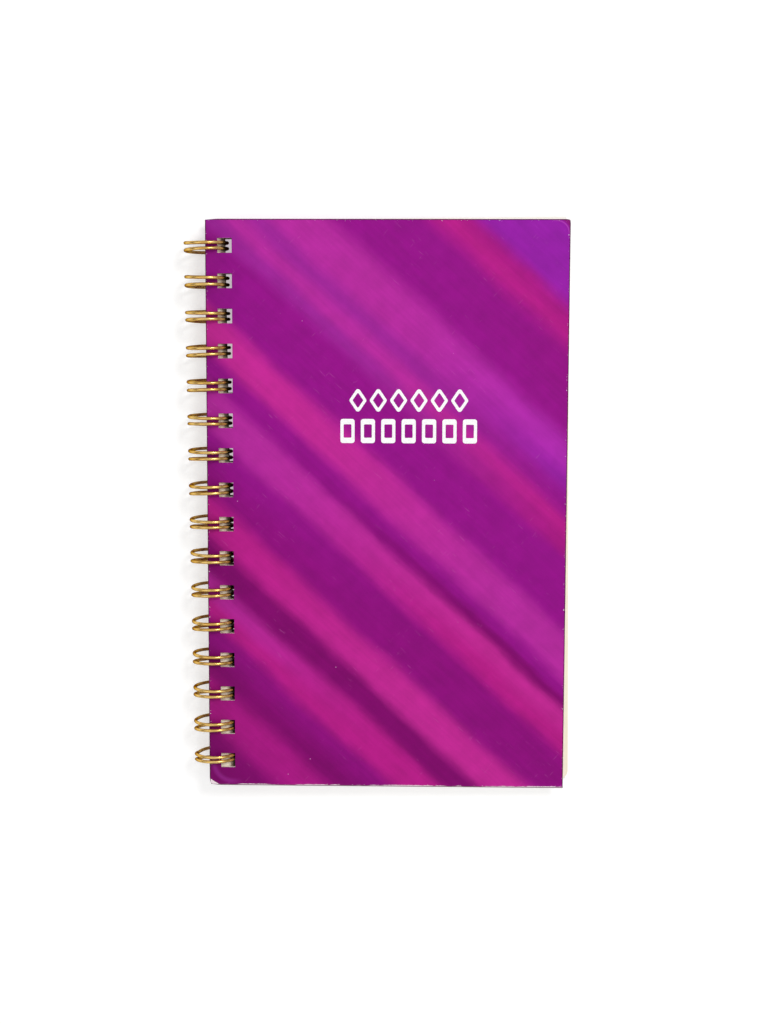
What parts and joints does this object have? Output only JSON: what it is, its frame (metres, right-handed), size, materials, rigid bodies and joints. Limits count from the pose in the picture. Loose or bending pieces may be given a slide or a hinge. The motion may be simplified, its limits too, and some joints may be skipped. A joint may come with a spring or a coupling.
{
  "type": "weekly planner",
  "caption": "Wire-bound weekly planner with laminated board covers and ruled paper leaves, closed, with twin-loop rings along the left edge that every sheet turns on.",
  "frame": {"origin": "below the middle of the closed planner's box, level with the underside of the rings", "axes": "+X from the spine to the open edge, +Y to the head of the pages, +Z out of the front cover"},
  "size_m": [0.1406, 0.211, 0.0165],
  "materials": {
    "cover_laminate": "satin",
    "back_laminate": "satin",
    "gold_wire": "satin",
    "paper": "matte"
  },
  "bodies": {
    "binding": {"binding_wire": "gold_wire", "back_cover": "back_laminate"},
    "notes": {"notes_leaf": "paper"},
    "quarter_4": {"week_leaf_40": "paper", "week_leaf_41": "paper", "week_leaf_42": "paper", "week_leaf_43": "paper", "week_leaf_44": "paper", "week_leaf_45": "paper", "week_leaf_46": "paper", "week_leaf_47": "paper", "week_leaf_48": "paper", "week_leaf_49": "paper", "week_leaf_50": "paper", "week_leaf_51": "paper", "week_leaf_52": "paper"},
    "quarter_3": {"week_leaf_27": "paper", "week_leaf_28": "paper", "week_leaf_29": "paper", "week_leaf_30": "paper", "week_leaf_31": "paper", "week_leaf_32": "paper", "week_leaf_33": "paper", "week_leaf_34": "paper", "week_leaf_35": "paper", "week_leaf_36": "paper", "week_leaf_37": "paper", "week_leaf_38": "paper", "week_leaf_39": "paper"},
    "quarter_2": {"week_leaf_14": "paper", "week_leaf_15": "paper", "week_leaf_16": "paper", "week_leaf_17": "paper", "week_leaf_18": "paper", "week_leaf_19": "paper", "week_leaf_20": "paper", "week_leaf_21": "paper", "week_leaf_22": "paper", "week_leaf_23": "paper", "week_leaf_24": "paper", "week_leaf_25": "paper", "week_leaf_26": "paper"},
    "quarter_1": {"week_leaf_01": "paper", "week_leaf_02": "paper", "week_leaf_03": "paper", "week_leaf_04": "paper", "week_leaf_05": "paper", "week_leaf_06": "paper", "week_leaf_07": "paper", "week_leaf_08": "paper", "week_leaf_09": "paper", "week_leaf_10": "paper", "week_leaf_11": "paper", "week_leaf_12": "paper", "week_leaf_13": "paper"},
    "title": {"title_leaf": "paper"},
    "front": {"front_cover": "cover_laminate"}
  },
  "joints": [
    {"name": "turn_notes_leaf", "type": "hinge", "parent": "binding", "child": "notes", "pos_m": [-0.06196, 0.00072, 0.00825], "axis": [0, -1, 0], "range_deg": [0, 180]},
    {"name": "turn_quarter_4", "type": "hinge", "parent": "notes", "child": "quarter_4", "pos_m": [-0.06196, 0.00072, 0.00825], "axis": [0, -1, 0], "range_deg": [0, 180]},
    {"name": "turn_quarter_3", "type": "hinge", "parent": "quarter_4", "child": "quarter_3", "pos_m": [-0.06196, 0.00072, 0.00825], "axis": [0, -1, 0], "range_deg": [0, 180]},
    {"name": "turn_quarter_2", "type": "hinge", "parent": "quarter_3", "child": "quarter_2", "pos_m": [-0.06196, 0.00072, 0.00825], "axis": [0, -1, 0], "range_deg": [0, 180]},
    {"name": "turn_quarter_1", "type": "hinge", "parent": "quarter_2", "child": "quarter_1", "pos_m": [-0.06196, 0.00072, 0.00825], "axis": [0, -1, 0], "range_deg": [0, 180]},
    {"name": "turn_title_leaf", "type": "hinge", "parent": "quarter_1", "child": "title", "pos_m": [-0.06196, 0.00072, 0.00825], "axis": [0, -1, 0], "range_deg": [0, 180]},
    {"name": "open_front_cover", "type": "hinge", "parent": "title", "child": "front", "pos_m": [-0.06196, 0.00072, 0.00825], "axis": [0, -1, 0], "range_deg": [0, 180]}
  ]
}
